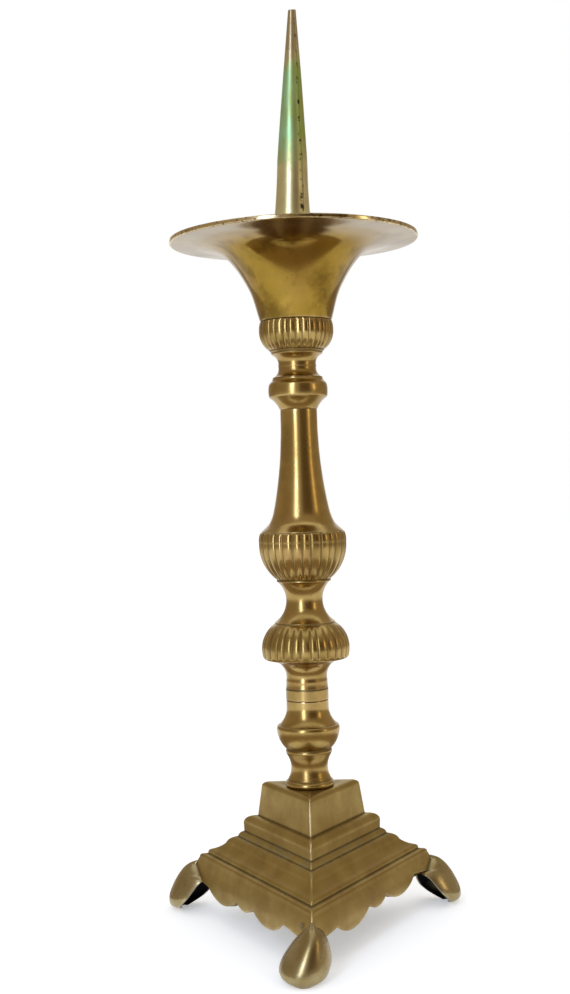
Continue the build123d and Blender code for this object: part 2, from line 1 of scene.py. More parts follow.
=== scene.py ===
from math import acos, atan, atan2, ceil, cos, degrees, hypot, pi, radians, sin, sqrt, tan

import bpy
from mathutils import Matrix, Vector


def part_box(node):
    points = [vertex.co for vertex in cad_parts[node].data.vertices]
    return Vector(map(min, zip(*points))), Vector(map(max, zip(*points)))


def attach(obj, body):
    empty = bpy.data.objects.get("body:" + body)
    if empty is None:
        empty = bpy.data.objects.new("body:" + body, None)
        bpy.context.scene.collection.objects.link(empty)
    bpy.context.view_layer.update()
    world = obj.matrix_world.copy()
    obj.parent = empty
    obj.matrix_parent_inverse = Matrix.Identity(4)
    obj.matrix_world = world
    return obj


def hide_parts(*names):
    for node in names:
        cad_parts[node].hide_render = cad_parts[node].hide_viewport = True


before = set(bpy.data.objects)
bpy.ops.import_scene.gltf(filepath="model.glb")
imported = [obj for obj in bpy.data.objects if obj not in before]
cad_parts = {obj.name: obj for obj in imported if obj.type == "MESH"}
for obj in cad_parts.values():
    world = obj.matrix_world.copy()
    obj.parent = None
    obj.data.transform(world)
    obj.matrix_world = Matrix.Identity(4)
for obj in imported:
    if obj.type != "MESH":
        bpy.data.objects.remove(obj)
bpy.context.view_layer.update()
MM = 0.001


# Base: one hollow brass casting with three sides, its mouldings scraped and filed by hand and mitred at
# the corners. The apron's lower edge is sawn in scallops, which differ a little from side to side.
def arc(start, end, bulge):
    """Points after start on an arc to end, which stands out to the right of the way by bulge."""
    if not bulge:
        return [end]
    chord = Vector(end) - Vector(start)
    along = chord.normalized()
    right = Vector((along.y, -along.x)) * (1 if bulge > 0 else -1)
    height = abs(bulge)
    radius = (chord.length_squared / 4 + height * height) / (2 * height)
    half_turn = 2 * atan(2 * height / chord.length)
    steps = max(6, ceil(2 * half_turn * radius / 0.7))
    middle = (Vector(start) + Vector(end)) / 2
    points = []
    for step in range(1, steps + 1):
        angle = half_turn * (2 * step / steps - 1)
        point = middle + along * radius * sin(angle) + right * (radius * cos(angle) - radius + height)
        points.append((point.x, point.y))
    return points


def outline_of(start, *stretches):
    """Outline from start through stretches: each is a radius and a level, and a bulge if it curves."""
    points = [start]
    for radius, level, *bulge in stretches:
        points += arc(points[-1], (radius, level), bulge[0] if bulge else 0)
    return points


def eased(outline, edge, dirt_width=0.9, closed=True):
    """Outline with its corners eased: rows of radius, level, how worn and how grimy each place is."""
    places, corners = [], []
    for number, place in enumerate(outline):
        here = Vector(place)
        before = here - Vector(outline[number - 1])
        after = Vector(outline[(number + 1) % len(outline)]) - here
        # counted clockwise: an outline that goes up its right side turns left on an edge, right in a corner
        is_end = not closed and number in (0, len(outline) - 1)
        turn = 0.0 if is_end else degrees(before.angle_signed(after, 0.0))
        reach = min(edge, before.length / 3, after.length / 3) if abs(turn) >= 18 else 0.0
        first = here - before.normalized() * reach
        last = here + after.normalized() * reach
        if reach:
            corners.append((here, turn))
            places += [first, first * 0.25 + here * 0.5 + last * 0.25, last]
        else:
            places.append(here)
        if after.length > 3 * dirt_width and (closed or place != outline[-1]):
            next_here = here + after
            way = after.normalized()
            steps = [dirt_width * share for share in (0.5, 1.1)]
            places += [here + way * step for step in steps if step > reach]
            places += [next_here - way * step for step in reversed(steps)]
    rows = []
    for place in places:
        worn = grimy_and_shaded = 0.0
        for corner, turn in corners:
            near = max(0.0, 1 - (place - corner).length / dirt_width)
            worn = max(worn, near * min(max(-turn / 120, 0.0), 0.7))
            grimy_and_shaded = max(grimy_and_shaded, near * min(max(turn / 60, 0.0), 0.9))
        rows.append((place.x, place.y, worn, grimy_and_shaded))
    return rows


def brass_mesh(name, points, faces, worn, grimy_and_shaded, crease=38):
    """Piece from points in millimetres, with its worn places, and its places of grime and painted shade,
    kept on the mesh.
    """
    mesh = bpy.data.meshes.new(name)
    mesh.from_pydata([Vector(point) * MM for point in points], [], faces)
    for label, values in (("worn", worn), ("grimy_and_shaded", grimy_and_shaded)):
        mesh.attributes.new(label, "FLOAT", "POINT").data.foreach_set("value", values)
    mesh.shade_smooth()
    mesh.set_sharp_from_angle(angle=radians(crease))
    mesh.validate()
    piece = bpy.data.objects.new(name, mesh)
    bpy.context.scene.collection.objects.link(piece)
    return piece


def ring_faces(rows, width, closed):
    """Faces between rows of as many points, round each row and up from one to the next."""
    faces = []
    for row in range(rows if closed else rows - 1):
        for column in range(width):
            beside, above = (column + 1) % width, (row + 1) % rows
            low, high = row * width, above * width
            faces.append((low + column, low + beside, high + beside, high + column))
    return faces


def wire(tree, kind, inputs, **settings):
    """Node with its properties set and its sockets filled with values or links."""
    made = tree.nodes.new(kind)
    for key, value in settings.items():
        setattr(made, key, value)
    for key, value in inputs.items():
        if isinstance(value, bpy.types.NodeSocket):
            tree.links.new(value, made.inputs[key])
        else:
            made.inputs[key].default_value = value
    return made


def calc(tree, operation, *terms):
    """Output of a math node on those terms."""
    return wire(tree, "ShaderNodeMath", dict(enumerate(terms)), operation=operation).outputs[0]


def product(tree, *terms):
    """Product of a few terms."""
    total = terms[0]
    for term in terms[1:]:
        total = calc(tree, "MULTIPLY", total, term)
    return total


def spread(tree, value, low, high, to_low=0.0, to_high=1.0):
    """Value mapped from one range to another, and kept inside it."""
    inputs = {"Value": value, "From Min": low, "From Max": high, "To Min": to_low, "To Max": to_high}
    return wire(tree, "ShaderNodeMapRange", inputs).outputs[0]


def tint(tree, share, first, second):
    """Colour between two colours."""
    mixer = wire(tree, "ShaderNodeMix", {0: share}, data_type="RGBA")
    for socket, colour in ((6, first), (7, second)):
        if isinstance(colour, bpy.types.NodeSocket):
            tree.links.new(colour, mixer.inputs[socket])
        else:
            mixer.inputs[socket].default_value = (*colour, 1.0)
    return mixer.outputs[2]


def noise(tree, where, scale, detail=4.0, rough=0.55):
    """Cloudy noise over a place in metres."""
    inputs = {"Vector": where, "Scale": scale, "Detail": detail, "Roughness": rough}
    return wire(tree, "ShaderNodeTexNoise", inputs).outputs["Fac"]


coppery = (0.34, 0.19, 0.075)
polished = (0.80, 0.68, 0.44)
brown_grime = (0.062, 0.043, 0.016)
pit_brown = (0.10, 0.068, 0.022)


def aged_brass(name, clean, dull, roughness, cloud_scale, pits=0.0, lines=0.0, grime_and_shade=brown_grime, film=None):
    """Old brass: two tones in clouds, brown in the hollows, bright on worn edges, pitted, turned lines."""
    material = bpy.data.materials.new(name)
    material.use_nodes = True
    tree = material.node_tree
    shader = tree.nodes["Principled BSDF"]
    place = wire(tree, "ShaderNodeTexCoord", {}).outputs["Object"]
    worn = wire(tree, "ShaderNodeAttribute", {}, attribute_name="worn").outputs["Fac"]
    grimy_and_shaded = wire(tree, "ShaderNodeAttribute", {}, attribute_name="grimy_and_shaded").outputs["Fac"]

    clouds = noise(tree, place, cloud_scale, 6.0, 0.6)
    patches = noise(tree, place, cloud_scale * 0.43, 3.0)
    grain = noise(tree, place, 1400, 3.0)
    colour = tint(tree, spread(tree, clouds, 0.36, 0.64), clean, dull)
    colour = tint(tree, spread(tree, patches, 0.52, 0.75, 0.0, 0.45), colour, coppery)

    cells = wire(tree, "ShaderNodeTexVoronoi", {"Vector": place, "Scale": 330.0, "Randomness": 1.0})
    sparse = spread(tree, noise(tree, place, 95, 2.0), 0.52, 0.62)
    pit = calc(tree, "MULTIPLY", spread(tree, cells.outputs["Distance"], 0.05, 0.17, pits, 0.0), sparse)
    colour = tint(tree, pit, colour, pit_brown)

    rubbed = calc(tree, "MULTIPLY", worn, spread(tree, clouds, 0.35, 0.6, 1.0, 0.25))
    colour = tint(tree, rubbed, colour, polished)
    # grimy places take the grime colour: dirt in hollows, and painted shade inside the feet and the base
    dirt_and_shade = calc(tree, "MULTIPLY", grimy_and_shaded, spread(tree, clouds, 0.25, 0.5, 0.7, 1.0))
    colour = tint(tree, dirt_and_shade, colour, grime_and_shade)

    rough = spread(tree, clouds, 0.3, 0.7, roughness - 0.04, roughness + 0.07)
    rough = calc(tree, "ADD", rough, calc(tree, "MULTIPLY", dirt_and_shade, 0.25))
    rough = calc(tree, "SUBTRACT", rough, calc(tree, "MULTIPLY", rubbed, 0.08))

    upright = wire(tree, "ShaderNodeSeparateXYZ", {0: place}).outputs["Z"]
    rings = noise(tree, wire(tree, "ShaderNodeCombineXYZ", {"Z": upright}).outputs[0], 2600, 2.0)
    height = calc(tree, "ADD", calc(tree, "MULTIPLY", rings, lines), calc(tree, "MULTIPLY", grain, 0.12))
    height = calc(tree, "ADD", height, calc(tree, "MULTIPLY", clouds, 1.2))
    height = calc(tree, "SUBTRACT", height, calc(tree, "MULTIPLY", pit, 1.5))
    bump = wire(tree, "ShaderNodeBump", {"Strength": 0.2, "Distance": 0.0002, "Height": height})

    if film:
        colour, rough = film(tree, place, colour, rough)
    shader.inputs["Metallic"].default_value = 1.0
    tree.links.new(colour, shader.inputs["Base Color"])
    tree.links.new(rough, shader.inputs["Roughness"])
    tree.links.new(bump.outputs[0], shader.inputs["Normal"])
    return material


def fit(piece, material, body, slot, *nodes):
    """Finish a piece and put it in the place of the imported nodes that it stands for."""
    piece.data.materials.clear()
    piece.data.materials.append(material)
    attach(piece, body)
    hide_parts(*nodes)


base_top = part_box("base_casting")[1].z / MM
base_bore = 4.6
apron_reach = 40.5
apron_batter = 3.2
apron_bulge = 0.5
apron_wall = 3.2
arch_level = 20.0
front_arch_drop = 3.5
ledge_level = 32.2
shoulder_level = 30.7
cavity_top = base_top - 4.2
mitre_round = 0.7
pad_radius = 66.0
corner_steps = 6
apron_rows = 9
lobe_half, lobe_drop, cusp_drop = 9.5, 3.8, 0.1
side_lobe_width, side_lobe_drop = 35.0, 6.1
# Sides by the way they face: how far along, up and round the scallops sit on each, and how far the arches
# beside its left and right corners drop
side_scallops = {
    90: (0.0, 0.0, 0.0, 0.0, 0.0),
    210: (-4.0, -1.5, 1.7, 0.0, front_arch_drop),
    330: (-0.8, 1.4, 2.6, front_arch_drop, 0.0),
}


def apron_out(level):
    """Reach of the apron's face at a level: it leans in above the arches, and swells a little."""
    share = max(0.0, level - arch_level) / (ledge_level - arch_level)
    return apron_reach - apron_batter * share + apron_bulge * 4 * share * (1 - share)


mouldings = outline_of(
    (apron_out(shoulder_level), shoulder_level),
    (36.4, 32.7, 0.5),
    (34.9, 33.3),
    (34.9, 34.2),
    (33.8, 35.9, 0.25),
    (28.7, 40.6, -0.45),
    (25.0, 45.0, 0.65),
    (24.5, 45.2),
    (22.7, 48.5, 0.4),
    (22.3, 48.7),
    (22.4, 52.6),
    (17.75, 58.4, 1.6),
    (17.5, 58.6),
    (16.0, base_top - 3.0),
    (12.8, base_top, 0.9),
)
cavity = (
    (12.6, cavity_top),
    (14.4, 48.8),
    (21.5, 40.6),
    (31.6, 33.6),
    (34.1, 29.0),
    (apron_reach - apron_wall, arch_level),
)


def apron_edge(along, up, turn, left_drop, right_drop):
    """Lower edge of one side, from its left end to its right: places along the side and their levels."""
    end = lobe_half + side_lobe_width
    knots = ((-end, 0.0), (-lobe_half, -cusp_drop), (lobe_half, -cusp_drop), (end, 0.0))
    bellies = (side_lobe_drop - cusp_drop / 2, lobe_drop - cusp_drop, side_lobe_drop - cusp_drop / 2)
    edge = [knots[0]]
    for first, last, belly in zip(knots, knots[1:], bellies):
        edge += arc(first, last, belly)
    c, s = cos(radians(turn)), sin(radians(turn))
    edge = [(along + c * x - s * y, arch_level + up + s * x + c * y) for x, y in edge]
    half = (apron_reach - mitre_round) * sqrt(3)
    left, right = Vector(edge[0]), Vector(edge[-1])
    left_end, right_end = Vector((-half, arch_level - left_drop)), Vector((half, arch_level - right_drop))
    for step in range(1, 9):
        edge.insert(0, tuple(left.lerp(left_end, step / 8)))
        edge.append(tuple(right.lerp(right_end, step / 8)))
    return edge


edges = {angle: apron_edge(*scallop) for angle, scallop in side_scallops.items()}


def base_row(reach_and_level, arris_wear=0.0, wear=0.0, grime_and_shade=0.0, inner=False):
    """Ring round the three sides: the reach and level are given for each place on the lower edge."""
    ring = []
    for angle, edge in edges.items():
        out = Vector((cos(radians(angle)), sin(radians(angle)), 0))
        along = Vector((-out.y, out.x, 0))
        full = apron_reach - mitre_round
        for place, low in edge:
            reach, level = reach_and_level(low)
            point = out * reach + along * place * (reach - mitre_round) / full
            ring.append((point + Vector((0, 0, level)), wear, grime_and_shade))
        reach, level = reach_and_level(edge[-1][1])
        corner = radians(angle + 60)
        centre = Vector((cos(corner), sin(corner), 0)) * 2 * (reach - mitre_round)
        for step in range(1, corner_steps):
            turn = radians(angle + 120 * step / corner_steps)
            point = centre + Vector((cos(turn), sin(turn), 0)) * mitre_round
            ring.append((point + Vector((0, 0, level)), arris_wear, grime_and_shade))
    # inside the casting every place is darkened brown: painted shade in the hollow under the base
    if inner:
        for corner in (30, 150, 270):
            out = Vector((cos(radians(corner)), sin(radians(corner)), 0))
            ring = [(p - out * max(0.0, p.dot(out) - pad_radius), 0.0, 0.75) for p, w, g in ring]
    return ring


def bore_row(ring, radius, level):
    """Ring of the same places drawn in to a round hole."""
    flat = [Vector((point.x, point.y, 0)).normalized() for point, wear, grime_and_shade in ring]
    # the bore is darkened brown all through: painted shade in the hole
    return [(way * radius + Vector((0, 0, level)), 0.0, 1.0) for way in flat]


rows = []
for number in range(apron_rows):

    def apron(low, share=number / apron_rows):
        level = low + (shoulder_level - low) * share
        return apron_out(level), level

    rows.append(base_row(apron, 0.75, wear=0.5 if number == 0 else 0.0))
for reach, level, wear, grime_and_shade in eased(mouldings, 0.5, closed=False):
    # the corners are rubbed bright on the plinth and the step below it, and hardly on the sweep
    arris_wear = 1.0 if level > 49 else 0.25
    rows.append(base_row(lambda low, here=(reach, level): here, arris_wear, wear * 0.5, grime_and_shade))
rows.append(bore_row(rows[-1], base_bore, base_top))
rows.append(bore_row(rows[-1], base_bore, cavity_top))
for place in cavity:
    rows.append(base_row(lambda low, here=place: here, inner=True))
rows.append(base_row(lambda low: (apron_reach - apron_wall, low), inner=True))
base = brass_mesh(
    "base",
    [point for ring in rows for point, wear, grime_and_shade in ring],
    ring_faces(len(rows), len(rows[0]), closed=True),
    [wear for ring in rows for point, wear, grime_and_shade in ring],
    [grime_and_shade for ring in rows for point, wear, grime_and_shade in ring],
    crease=28,
)


def base_tarnish(tree, place, colour, rough):
    """Grey-green tarnish in the mouldings under the step, and pale specks where the casting was filled."""
    upright = wire(tree, "ShaderNodeSeparateXYZ", {0: place}).outputs["Z"]
    ragged = noise(tree, place, 150, 5.0, 0.65)
    above, below = spread(tree, upright, 0.0435, 0.0455), spread(tree, upright, 0.0485, 0.0495, 1.0, 0.0)
    green = product(tree, above, below, spread(tree, ragged, 0.46, 0.62), 0.4)
    colour = tint(tree, green, colour, (0.22, 0.235, 0.15))
    specks = wire(tree, "ShaderNodeTexVoronoi", {"Vector": place, "Scale": 210.0, "Randomness": 1.0})
    few = spread(tree, noise(tree, place, 60, 2.0), 0.56, 0.62)
    fleck = product(tree, spread(tree, specks.outputs["Distance"], 0.05, 0.1, 0.5, 0.0), few)
    colour = tint(tree, fleck, colour, (0.55, 0.50, 0.30))
    return colour, calc(tree, "ADD", rough, calc(tree, "MULTIPLY", green, 0.2))


base_brass = aged_brass(
    "base brass", (0.385, 0.275, 0.082), (0.30, 0.20, 0.052), 0.40, 55, pits=0.7, film=base_tarnish
)
fit(base, base_brass, "stand", "base_brass", "base_casting")


# Feet: three hollow brass castings like half pears, open behind, each riveted through a corner of the base
# by a tenon. Outside they are rubbed by handling, and inside they are painted near black, for old dirt and
# as painted shade inside the shell.
def flowing(points, steps=10):
    """Smooth line through a few points."""
    spots = [Vector(point) for point in points]
    slopes = []
    for number, spot in enumerate(spots):
        before = spots[max(number - 1, 0)]
        after = spots[min(number + 1, len(spots) - 1)]
        slopes.append((after - before) / ((after - spot).length + (spot - before).length))
    line = [tuple(spots[0])]
    for number in range(len(spots) - 1):
        start, end = spots[number], spots[number + 1]
        span = (end - start).length
        for step in range(1, steps + 1):
            t = step / steps
            point = start * (2 * t**3 - 3 * t**2 + 1) + slopes[number] * span * (t**3 - 2 * t**2 + t)
            point += end * (3 * t**2 - 2 * t**3) + slopes[number + 1] * span * (t**3 - t**2)
            line.append(tuple(point))
    return line


corner_radius = 2 * apron_reach
foot_wall = 2.2
foot_around = 40
tenon_level, tenon_radius, tenon_head = 24.0, 2.2, 3.0
# Back edge of a foot's shell, from the heel up to the apron: levels and how far out it lies from the stem
heel_line = ((0.0, 87.0), (4.0, 81.9), (8.0, 77.6), (12.0, 74.7), (16.0, 72.4), (18.5, 70.0), (20.0, 66.5))
foot_bearings = {"front": (266.8, 11.8), "left": (150.0, 14.2), "right": (30.0, 14.2)}


def heel_at(level):
    """How far out the back edge of the shell lies at a level."""
    for (low, first), (high, last) in zip(heel_line, heel_line[1:]):
        if level <= high:
            return first + (last - first) * (level - low) / (high - low)
    return heel_line[-1][1]


def in_apron(point, level):
    """Whether a place at a level lies inside the three faces of the apron."""
    ways = [Vector((cos(radians(angle)), sin(radians(angle)))) for angle in side_scallops]
    return all(point.dot(way) <= apron_out(level) + 0.05 for way in ways)


def foot_loop(bearing, level, nose, half_width, half_depth):
    """Loop round the shell at a level: along its outside, and back by the hollow or the apron's corner."""
    corner_bearing = 30 + 120 * round((bearing - 30) / 120)
    bearing += (corner_bearing - bearing) * min(max((level - 6) / 16, 0.0), 1.0)
    out = Vector((cos(radians(bearing)), sin(radians(bearing))))
    across = Vector((-out.y, out.x))
    middle = nose - half_depth

    def spot(turn, inset=0.0):
        return out * (middle + (half_depth - inset) * cos(turn)) + across * (half_width - inset) * sin(turn)

    def reach(inset):
        return acos(min(max((heel_at(level) - middle) / (half_depth - inset), -1.0), 1.0))

    if level < arch_level:
        ends = (-reach(0.0), reach(0.0))
        inside = reach(foot_wall)
        back = [spot(inside * (2 * k / foot_around - 1), foot_wall) for k in range(foot_around + 1)]
    else:
        ends = []
        for side in (-1, 1):
            turn = 0.0
            while turn < pi and not in_apron(spot(side * turn), level):
                turn += 0.01
            ends.append(side * turn)
        corner = Vector((cos(radians(corner_bearing)), sin(radians(corner_bearing)))) * 2 * apron_out(level)
        half = foot_around // 2
        back = [spot(ends[0]).lerp(corner, k / half) for k in range(half)]
        back += [corner.lerp(spot(ends[1]), k / half) for k in range(half + 1)]
    front = [spot(ends[0] + (ends[1] - ends[0]) * k / foot_around) for k in range(foot_around + 1)]
    return front, back


def foot_mesh(name, bearing, overhang):
    """Shell of one foot, from its toe to the tip on the base's corner, and its tenon."""
    nose = corner_radius + overhang
    shape = flowing((
        (0.0, nose - 3.0, 4.5, 4.5),
        (3.4, nose - 0.05, 11.2, 11.1),
        (8.6, nose - 0.3, 12.7, 14.6),
        (16.6, corner_radius + 0.73 * overhang, 9.6, 13.5),
        (22.6, corner_radius + 0.42 * overhang, 5.6, 8.6),
        (26.0, corner_radius + 0.12 * overhang, 2.3, 3.2),
        (27.9, 78.2, 0.5, 1.0),
    ), steps=6)
    points, worn, grimy_and_shaded = [], [], []
    for level, *sizes in shape:
        front, back = foot_loop(bearing, level, *sizes)
        points += [(spot.x, spot.y, level) for spot in front + back[::-1]]
        seam = 0.7 if level > arch_level else 0.0
        for k in range(foot_around + 1):
            edge = max(0.0, 1 - min(k, foot_around - k) / 2)
            worn.append(0.0 if level > 20 else 0.35 * edge)
            grimy_and_shaded.append(seam * edge)
        worn += [0.0] * (foot_around + 1)
        # the inside of the shell is painted fully dark: old dirt, and painted shade in the hollow
        grimy_and_shaded += [1.0] * (foot_around + 1)
    width = 2 * (foot_around + 1)
    faces = ring_faces(len(shape), width, closed=False)
    top = (len(shape) - 1) * width
    for k in range(foot_around):
        other = width - 1 - k
        faces.append((k, other, other - 1, k + 1))
        faces.append((top + k, top + k + 1, top + other - 1, top + other))
    out = Vector((cos(radians(bearing)), sin(radians(bearing)), 0))
    across = Vector((-out.y, out.x, 0))
    pin = (
        (63.1, 2.4),
        (63.4, tenon_head),
        (64.45, tenon_head),
        (64.45, tenon_radius),
        (71.5, tenon_radius),
    )
    pin_around = 20
    first = len(points)
    for along, radius in pin:
        for step in range(pin_around):
            turn = 2 * pi * step / pin_around
            spot = out * along + across * radius * cos(turn)
            points.append((spot.x, spot.y, tenon_level + radius * sin(turn)))
            worn.append(0.3)
            grimy_and_shaded.append(0.5)
    faces += [tuple(first + k for k in face) for face in ring_faces(len(pin), pin_around, closed=False)]
    faces.append(tuple(first + k for k in reversed(range(pin_around))))
    faces.append(tuple(first + (len(pin) - 1) * pin_around + k for k in range(pin_around)))
    return brass_mesh(name, points, faces, worn, grimy_and_shaded, crease=50)


# the feet's grime colour is near black: old dirt, and painted shade on the insides of the shells
foot_brass = aged_brass(
    "foot brass", (0.40, 0.33, 0.18), (0.30, 0.23, 0.10), 0.26, 75, pits=0.8, grime_and_shade=(0.016, 0.013, 0.014)
)
for side, (bearing, overhang) in foot_bearings.items():
    foot = foot_mesh("foot_" + side + "_cast", bearing, overhang)
    fit(foot, foot_brass, "stand", "foot_brass", "foot_" + side)

# Roves: small brass washers inside the base's corners. The feet's tenons go through them, and their ends
# are hammered over to hold the feet on.
rove_brass = aged_brass("rove brass", (0.42, 0.33, 0.17), (0.30, 0.22, 0.09), 0.38, 120, pits=0.5)
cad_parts["foot_roves"].data.materials.clear()
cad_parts["foot_roves"].data.materials.append(rove_brass)


# Lower knop: turned brass with a flange that stands on the plinth, a waisted neck with a fine ring, and a
# plain knop with a crisp shoulder. It is held down by the tie rod through its bore.
def turned(name, outline, segments=144, edge=0.3):
    """Piece turned from a closed outline, which goes up on the outside and comes down in the bore."""
    points, worn, grimy_and_shaded = [], [], []
    rows = eased(outline, edge)
    for radius, level, wear, grime_and_shade in rows:
        for step in range(segments):
            angle = 2 * pi * step / segments
            points.append((radius * cos(angle), radius * sin(angle), level))
        worn += [wear * 0.5] * segments
        grimy_and_shaded += [grime_and_shade] * segments
    return brass_mesh(name, points, ring_faces(len(rows), segments, closed=True), worn, grimy_and_shaded)


stem_bore = 4.6
stem_brass = aged_brass(
    "stem brass", (0.45, 0.312, 0.11), (0.31, 0.205, 0.06), 0.22, 60, pits=0.5, lines=0.3
)
lower_knop = turned("lower_knop_turned", outline_of(
    (stem_bore, base_top + 0.05),
    (12.4, base_top + 0.05),
    (12.3, 81.7, 1.1),
    (11.8, 82.1),
    (11.6, 82.8),
    (12.0, 95.6, -1.75),
    (12.3, 96.4),
    (12.6, 97.6, 0.15),
    (12.3, 98.6, 0.1),
    (12.3, 99.0),
    (17.2, 109.8, 1.2),
    (16.5, 111.8, 0.2),
    (16.1, 111.95),
    (11.5, 122.0, -1.3),
    (11.5, 125.4),
    (stem_bore, 125.4),
))
fit(lower_knop, stem_brass, "stand", "stem_brass", "lower_knop")


# Dome knop: turned brass with a plain band at its joint, a neck, and a dome whose ribs were cut in by
# hand between shallow lines, so that no two are quite alike.
def from_axis(tree, parts):
    """Distance of a place from the stem's axis."""
    x_squared = calc(tree, "MULTIPLY", parts["X"], parts["X"])
    y_squared = calc(tree, "MULTIPLY", parts["Y"], parts["Y"])
    return calc(tree, "SQRT", calc(tree, "ADD", x_squared, y_squared))


def gadroon_nodes():
    """Nodes that sink the lines between the ribs of a turned knop, and mark them as grimy."""
    tree = bpy.data.node_groups.new("gadroons", "GeometryNodeTree")
    sockets = (
        ("Knop", "NodeSocketGeometry"), ("Ribs", "NodeSocketInt"), ("Depth", "NodeSocketFloat"),
        ("Lowest", "NodeSocketFloat"), ("Highest", "NodeSocketFloat"), ("Run out", "NodeSocketFloat"),
        ("Unevenness", "NodeSocketFloat"), ("Seed", "NodeSocketFloat"), ("Finish", "NodeSocketMaterial"),
    )
    for label, kind in sockets:
        tree.interface.new_socket(label, in_out="INPUT", socket_type=kind)
    tree.interface.new_socket("Gadrooned knop", in_out="OUTPUT", socket_type="NodeSocketGeometry")
    given = wire(tree, "NodeGroupInput", {}).outputs
    where = wire(tree, "GeometryNodeInputPosition", {}).outputs[0]
    parts = wire(tree, "ShaderNodeSeparateXYZ", {0: where}).outputs
    angle = calc(tree, "ARCTAN2", parts["Y"], parts["X"])
    radius = from_axis(tree, parts)
    around = wire(tree, "ShaderNodeCombineXYZ", {
        "X": calc(tree, "COSINE", angle), "Y": calc(tree, "SINE", angle), "Z": given["Seed"],
    }).outputs[0]
    wander = wire(tree, "ShaderNodeTexNoise", {"Vector": around, "Scale": 4.0, "Detail": 2.0}).outputs["Fac"]
    wander = calc(tree, "MULTIPLY", calc(tree, "SUBTRACT", wander, 0.5), given["Unevenness"])
    turns = calc(tree, "ADD", product(tree, angle, 1 / (2 * pi), given["Ribs"]), wander)
    across = calc(tree, "ABSOLUTE", calc(tree, "SUBTRACT", calc(tree, "FRACT", turns), 0.5))
    # ribs are round in section: none is cut from the crest, and all of the depth from the line between two
    fall = calc(tree, "SQRT", calc(tree, "SUBTRACT", 1.0, product(tree, across, across, 4 * 0.96)))
    ends = []
    for first, last in ((parts["Z"], given["Lowest"]), (given["Highest"], parts["Z"])):
        run = {"Value": calc(tree, "SUBTRACT", first, last), "From Max": given["Run out"]}
        ends.append(wire(tree, "ShaderNodeMapRange", run, interpolation_type="SMOOTHSTEP").outputs[0])
    outside = calc(tree, "GREATER_THAN", radius, 0.009)
    cut = product(tree, calc(tree, "SUBTRACT", 1.0, fall), *ends, outside)
    inward = calc(tree, "DIVIDE", product(tree, cut, given["Depth"], -1.0), radius)
    flat = wire(tree, "ShaderNodeCombineXYZ", {"X": parts["X"], "Y": parts["Y"]}).outputs[0]
    shift = wire(tree, "ShaderNodeVectorMath", {0: flat, "Scale": inward}, operation="SCALE").outputs[0]
    old = wire(tree, "GeometryNodeInputNamedAttribute", {"Name": "grimy_and_shaded"}, data_type="FLOAT").outputs[0]
    dark = calc(tree, "MAXIMUM", old, calc(tree, "POWER", cut, 1.5))
    marked = wire(tree, "GeometryNodeStoreNamedAttribute", {
        "Geometry": given["Knop"], "Name": "grimy_and_shaded", "Value": dark,
    }, data_type="FLOAT", domain="POINT").outputs[0]
    moved = wire(tree, "GeometryNodeSetPosition", {"Geometry": marked, "Offset": shift}).outputs[0]
    real = wire(tree, "GeometryNodeRealizeInstances", {"Geometry": moved}).outputs[0]
    finish = {"Geometry": real, "Material": given["Finish"]}
    wire(tree, "NodeGroupOutput", {0: wire(tree, "GeometryNodeSetMaterial", finish).outputs[0]})
    return tree


gadroons = gadroon_nodes()


def gadrooned(piece, **values):
    """Sink the lines between a knop's ribs, and keep the result as a plain mesh."""
    modifier = piece.modifiers.new("ribs", "NODES")
    modifier.node_group = gadroons
    names = {item.name: item.identifier for item in gadroons.interface.items_tree if item.in_out == "INPUT"}
    for label, value in values.items():
        modifier[names[label.replace("_", " ")]] = value
    bpy.context.view_layer.update()
    made = bpy.data.meshes.new_from_object(piece.evaluated_get(bpy.context.evaluated_depsgraph_get()))
    piece.modifiers.remove(modifier)
    piece.data = made


dome_knop = turned("dome_knop_turned", outline_of(
    (stem_bore, 125.5),
    (11.45, 125.5),
    (11.6, 125.8),
    (11.6, 131.4),
    (11.4, 131.6),
    (11.5, 131.9),
    (11.3, 136.0, -0.1),
    (20.4, 147.5, -3.5),
    (22.6, 148.1),
    (23.6, 150.0, 0.2),
    (16.5, 167.3, 3.0),
    (16.3, 167.65),
    (stem_bore, 167.65),
), segments=480)
gadrooned(
    dome_knop, Ribs=30, Depth=1.1 * MM, Lowest=148.0 * MM, Highest=166.6 * MM, Run_out=2.4 * MM,
    Unevenness=0.9, Seed=3.0, Finish=stem_brass,
)
fit(dome_knop, stem_brass, "stand", "stem_brass", "dome_knop")


# Vase knop: turned brass, a waisted neck under a thin ring, and a round vase ribbed right up to its rim.
# It stands on the dome, with a spigot in it, and carries the column.
vase_knop = turned("vase_knop_turned", outline_of(
    (stem_bore, 167.72),
    (16.3, 167.72),
    (16.4, 168.0, 0.1),
    (10.0, 180.1, -1.75),
    (14.2, 189.7, -1.1),
    (14.6, 189.9),
    (14.8, 190.5, 0.15),
    (14.6, 191.1),
    (23.9, 211.2, 2.7),
    (23.3, 216.3, 0.3),
    (22.7, 216.95),
    (stem_bore, 216.95),
), segments=448)
gadrooned(
    vase_knop, Ribs=28, Depth=1.25 * MM, Lowest=191.2 * MM, Highest=217.6 * MM, Run_out=2.0 * MM,
    Unevenness=0.9, Seed=7.0, Finish=stem_brass,
)
fit(vase_knop, stem_brass, "stand", "stem_brass", "vase_knop")


# Column: slender turned brass shaft, which sweeps out at its foot to cover the vase's rim. It is cast
# hollow, and the tie rod runs up inside it.
column = turned("column_turned", [
    (stem_bore, 217.02),
    (22.3, 217.02),
    *flowing(((22.3, 217.3), (17.7, 222.0), (14.9, 230.0), (11.45, 252.0), (10.2, 270.0), (10.0, 283.2))),
    (9.95, 283.45),
    (stem_bore, 283.45),
])
fit(column, stem_brass, "stand", "stem_brass", "column")


